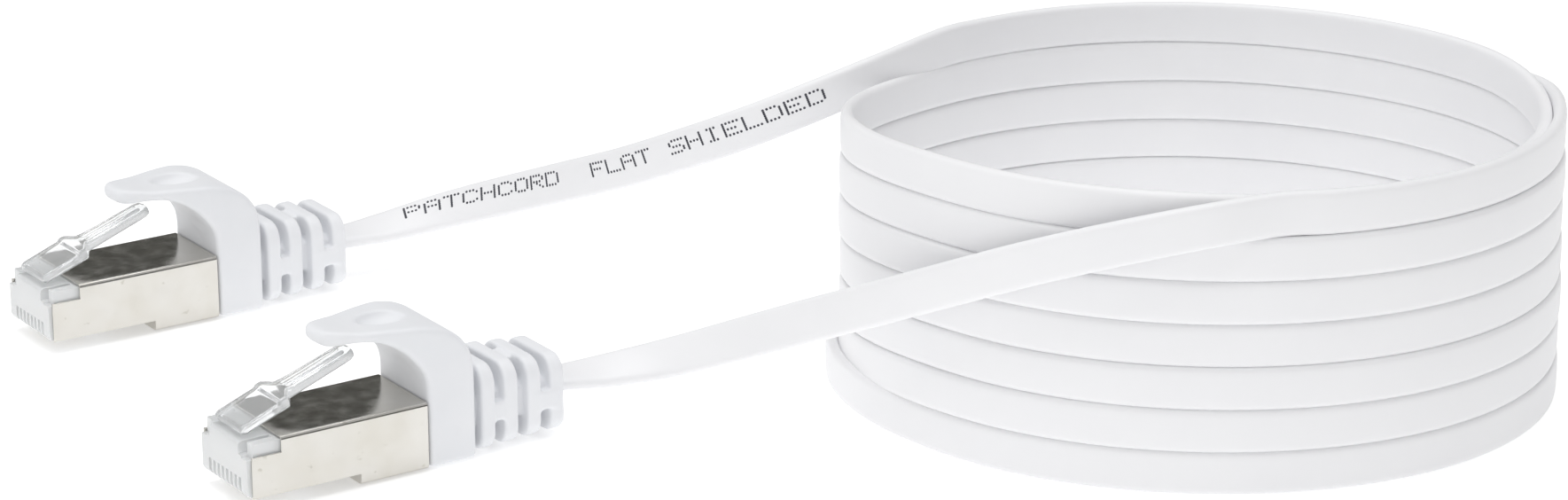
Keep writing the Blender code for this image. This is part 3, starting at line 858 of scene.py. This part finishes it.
latch_vertices, latch_faces = latch_surface()
for side in PLUG_SIDES:
    plug = "plug_" + side
    arm_vertices = (latch_vertices + plug_nose(side)) * MM
    latch = mesh_object(plug + "_latch_arm", arm_vertices, latch_faces, CLEAR_ARM)
    shade(latch)
    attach(latch, "latch_" + side)
    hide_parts(plug + "_latch")
    body = softened(plug + "_housing", plug + "_body", CLEAR_BODY, HOUSING_EDGE)
    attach(body, "root")
    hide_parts(plug + "_housing")
    shell = softened(plug + "_shield", plug + "_shell", NICKEL, SHIELD_EDGE)
    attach(shell, "root")
    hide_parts(plug + "_shield")


# ---- carried-over nodes ---------------------------------------------------------------------
def dress(node, material):
    """Give a node's own mesh its material and leave its shape alone."""
    mesh = nodes[node].data
    mesh.materials.clear()
    mesh.materials.append(material)


for side in PLUG_SIDES:
    plug = "plug_" + side
    dress(plug + "_wire_guide", GUIDE)
    for number in range(CONTACT_COUNT):
        dress(f"{plug}_contact_{number + 1}", GOLD)
        dress(f"{plug}_conductor_{number + 1}", CONDUCTORS[number])


# ---- camera, floor and light ----------------------------------------------------------------
CAMERA_PLACE = (-0.2325, -0.4470, 0.1887)
CAMERA_DOWN = 19.0                    # degrees below the horizon
CAMERA_HEADING = -34.4                # degrees, from +Y
LENS = 101.75                         # mm, on a 36 mm wide sensor
WORLD_STRENGTH = 0.635
SEEN_WHITE = 1.58                     # times the world strength, behind the object
RIGHT_DIM = (0.87, 0.872, 0.88)       # colour of the surround at the right
DARK_CARD = (0.14, 0.14, 0.13)
LOW_CARD_TOWARDS = (0.534, -0.845, 0.0)   # direction of its middle, in plan
FLOOR_GLOW = 0.35                     # lifts the floor to white, as a lit table would be
FLOOR_HALF = 3.0
FLOOR_DROP = 0.0003                   # keeps the floor clear of the object's foot
LIGHT_TARGET = (0.05, -0.03, 0.0)
LAMPS = [                             # name, place, side of the square, watts
    ("key", (-0.7, -0.3, 0.9), 0.8, 0.3),
    ("top", (0.0, 0.0, 1.2), 0.9, 6.4),
    ("front", (-0.4, -0.9, 0.5), 0.8, 0.6),
]


def make_camera():
    data = bpy.data.cameras.new("camera")
    data.lens = LENS
    data.sensor_width = 36.0
    data.sensor_fit = "HORIZONTAL"
    camera = link(bpy.data.objects.new("camera", data))
    camera.location = CAMERA_PLACE
    camera.rotation_euler = (math.radians(90 - CAMERA_DOWN), 0.0, math.radians(CAMERA_HEADING))
    bpy.context.scene.camera = camera


def make_floor():
    finish = Finish("floor", (0.9, 0.9, 0.9), 0.7)
    cloud = finish.noise(3.0, 2.0)
    finish.colour(finish.blend(finish.spread(cloud, 0.0, 1.0), (0.90, 0.90, 0.90), (0.92, 0.92, 0.92)))
    finish.shader.inputs["Emission Color"].default_value = (1.0, 1.0, 1.0, 1.0)
    finish.shader.inputs["Emission Strength"].default_value = FLOOR_GLOW
    corners = [(a * FLOOR_HALF, b * FLOOR_HALF, 0) for a, b in ((-1, -1), (1, -1), (1, 1), (-1, 1))]
    floor = mesh_object("floor", corners, [(0, 1, 2, 3)], finish.material)
    floor.location.z = -FLOOR_DROP


def area_light(name, place, size, power):
    """A square soft lamp, turned to the light's target."""
    data = bpy.data.lights.new(name, "AREA")
    data.shape = "RECTANGLE"
    data.size = size
    data.size_y = size
    data.energy = power
    lamp = link(bpy.data.objects.new(name, data))
    lamp.location = place
    towards = Vector(LIGHT_TARGET) - Vector(place)
    lamp.rotation_euler = towards.to_track_quat("-Z", "Y").to_euler()


def make_world():
    """White surround, dimmer to the right. Two dark cards, one behind the object and one low on
    the right, are only seen in reflections and through clear plastic."""
    world = bpy.data.worlds.new("studio")
    bpy.context.scene.world = world
    world.use_nodes = True
    tree = world.node_tree
    background = tree.nodes["Background"]
    background.inputs["Strength"].default_value = WORLD_STRENGTH
    direction = tree.nodes.new("ShaderNodeTexCoord").outputs["Generated"]
    heading = math.radians(CAMERA_HEADING)

    def along(axis, start, end):
        """0 to 1 as the direction's share of an axis goes from start to end."""
        dot = tree.nodes.new("ShaderNodeVectorMath")
        dot.operation = "DOT_PRODUCT"
        dot.inputs[1].default_value = axis
        tree.links.new(direction, dot.inputs[0])
        share = tree.nodes.new("ShaderNodeMapRange")
        share.interpolation_type = "SMOOTHSTEP"
        share.inputs["From Min"].default_value = start
        share.inputs["From Max"].default_value = end
        tree.links.new(dot.outputs["Value"], share.inputs["Value"])
        return share.outputs["Result"]

    def times(a, b):
        product = tree.nodes.new("ShaderNodeMath")
        product.operation = "MULTIPLY"
        tree.links.new(a, product.inputs[0])
        tree.links.new(b, product.inputs[1])
        return product.outputs["Value"]

    left_right = along((math.cos(heading), math.sin(heading), 0.0), -0.3, 1.0)
    shade_mix = tree.nodes.new("ShaderNodeMix")
    shade_mix.data_type = "RGBA"
    shade_mix.inputs[6].default_value = (1.0, 1.0, 1.0, 1.0)
    shade_mix.inputs[7].default_value = (*RIGHT_DIM, 1.0)
    tree.links.new(left_right, shade_mix.inputs[0])
    low_right = times(along(LOW_CARD_TOWARDS, 0.72, 0.82), along((0.0, 0.0, 1.0), 0.52, 0.40))
    ahead = along((-math.sin(heading), math.cos(heading), 0.0), 0.78, 0.88)
    above = along((0.0, 0.0, 1.0), 0.06, 0.22)
    below = along((0.0, 0.0, 1.0), 0.56, 0.46)
    high_ahead = times(ahead, times(above, below))
    card = tree.nodes.new("ShaderNodeMath")
    card.operation = "MAXIMUM"
    tree.links.new(high_ahead, card.inputs[0])
    tree.links.new(low_right, card.inputs[1])
    mix = tree.nodes.new("ShaderNodeMix")
    mix.data_type = "RGBA"
    mix.inputs[7].default_value = (*DARK_CARD, 1.0)
    tree.links.new(shade_mix.outputs[2], mix.inputs[6])
    tree.links.new(card.outputs["Value"], mix.inputs[0])
    rays = tree.nodes.new("ShaderNodeLightPath")
    seen = tree.nodes.new("ShaderNodeMix")
    seen.data_type = "RGBA"
    seen.inputs[7].default_value = (SEEN_WHITE, SEEN_WHITE, SEEN_WHITE, 1.0)
    tree.links.new(mix.outputs[2], seen.inputs[6])
    tree.links.new(rays.outputs["Is Camera Ray"], seen.inputs[0])
    tree.links.new(seen.outputs[2], background.inputs["Color"])


def make_light():
    for lamp in LAMPS:
        area_light(*lamp)
    bpy.context.scene.view_settings.view_transform = "Standard"


make_camera()
make_floor()
make_world()
make_light()

plug_b_pieces = ["strain_relief", "latch_arm", "body", "shell", "wire_guide"]
plug_b_pieces += [f"contact_{number + 1}" for number in range(CONTACT_COUNT)]
plug_b_pieces += [f"conductor_{number + 1}" for number in range(CONTACT_COUNT)]
plug_b_pieces = ["plug_b_" + name for name in plug_b_pieces] + ["cable_print"]
